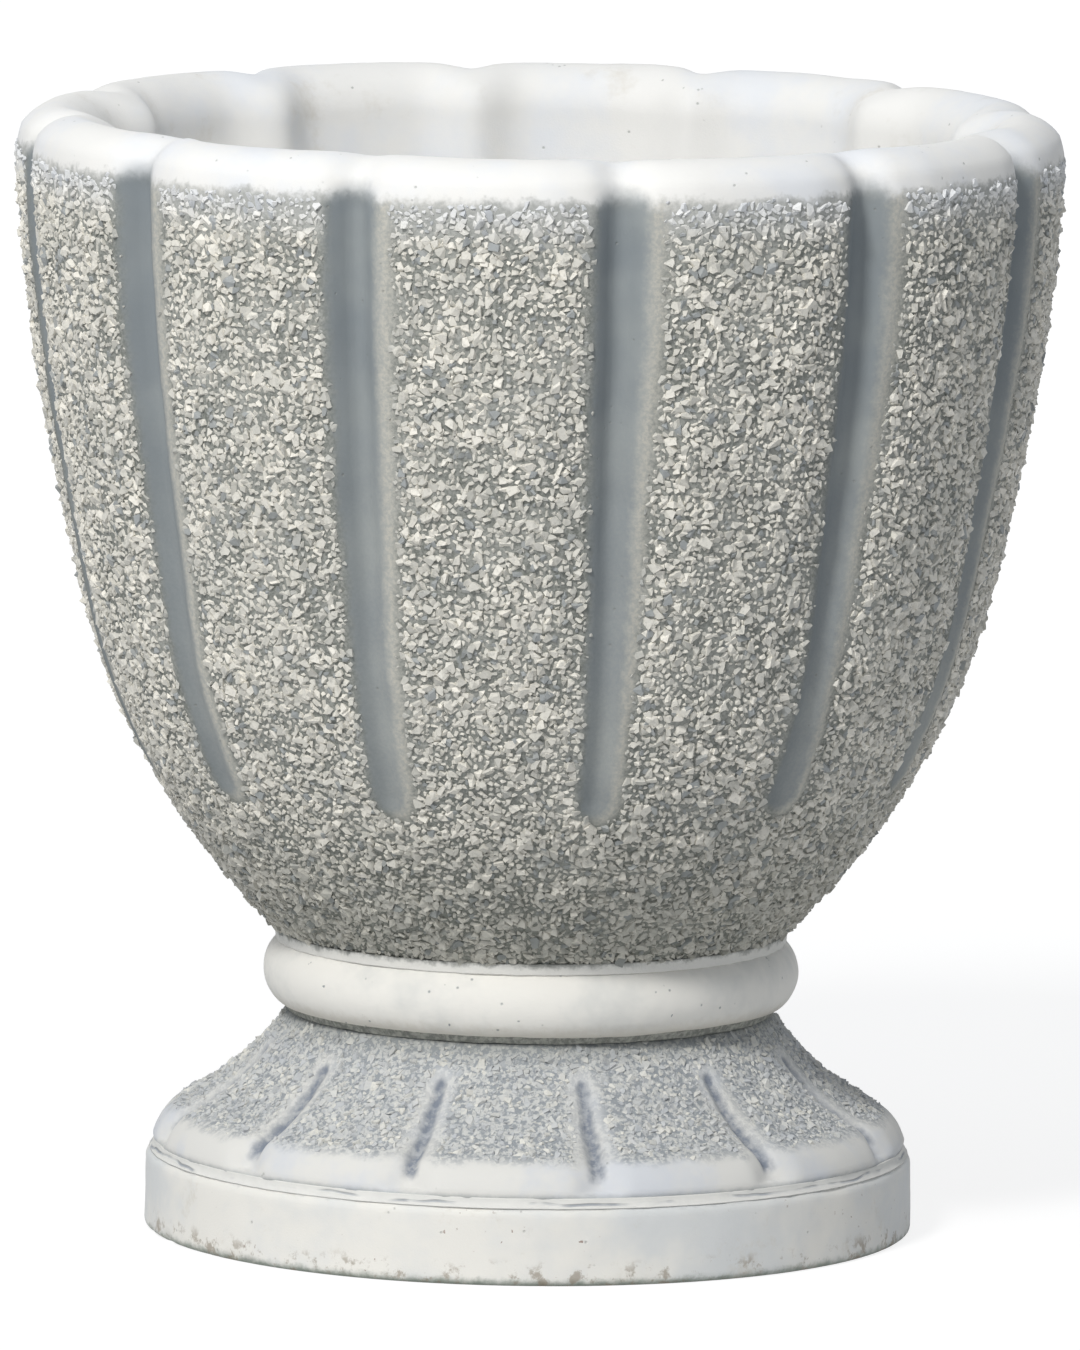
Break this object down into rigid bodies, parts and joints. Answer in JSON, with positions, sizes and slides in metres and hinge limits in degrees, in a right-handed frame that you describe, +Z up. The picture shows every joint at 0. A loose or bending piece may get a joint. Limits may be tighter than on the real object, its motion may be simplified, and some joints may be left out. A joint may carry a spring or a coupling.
{
  "type": "urn planter",
  "caption": "Fluted round urn planter in washed concrete: an open bowl with a drain on a beaded collar, a flared hollow foot and a round plinth ring.",
  "frame": {"origin": "centre of the plinth's underside, on the ground", "axes": "+Z up along the urn's axis, +X through the middle of one flute"},
  "size_m": [0.5246, 0.5246, 0.562],
  "materials": {
    "washed_concrete": "washed, with exposed marble chips",
    "smooth_concrete": "smooth cast, whitish",
    "mortar": "struck, matt grey",
    "drain_pipe": "matt grey",
    "dowel_steel": "drawn, zinc coated",
    "bar_steel": "black as rolled"
  },
  "bodies": {
    "root": {"bowl": "washed_concrete", "foot": "washed_concrete", "collar": "smooth_concrete", "plinth": "smooth_concrete", "bowl_mortar": "mortar", "foot_mortar": "mortar", "plinth_mortar": "mortar", "drain_tube": "drain_pipe", "dowels": "dowel_steel", "rim_hoop": "bar_steel", "belly_hoop": "bar_steel", "heel_hoop": "bar_steel", "neck_hoop": "bar_steel", "foot_hoop": "bar_steel", "plinth_hoop": "bar_steel"}
  },
  "joints": []
}
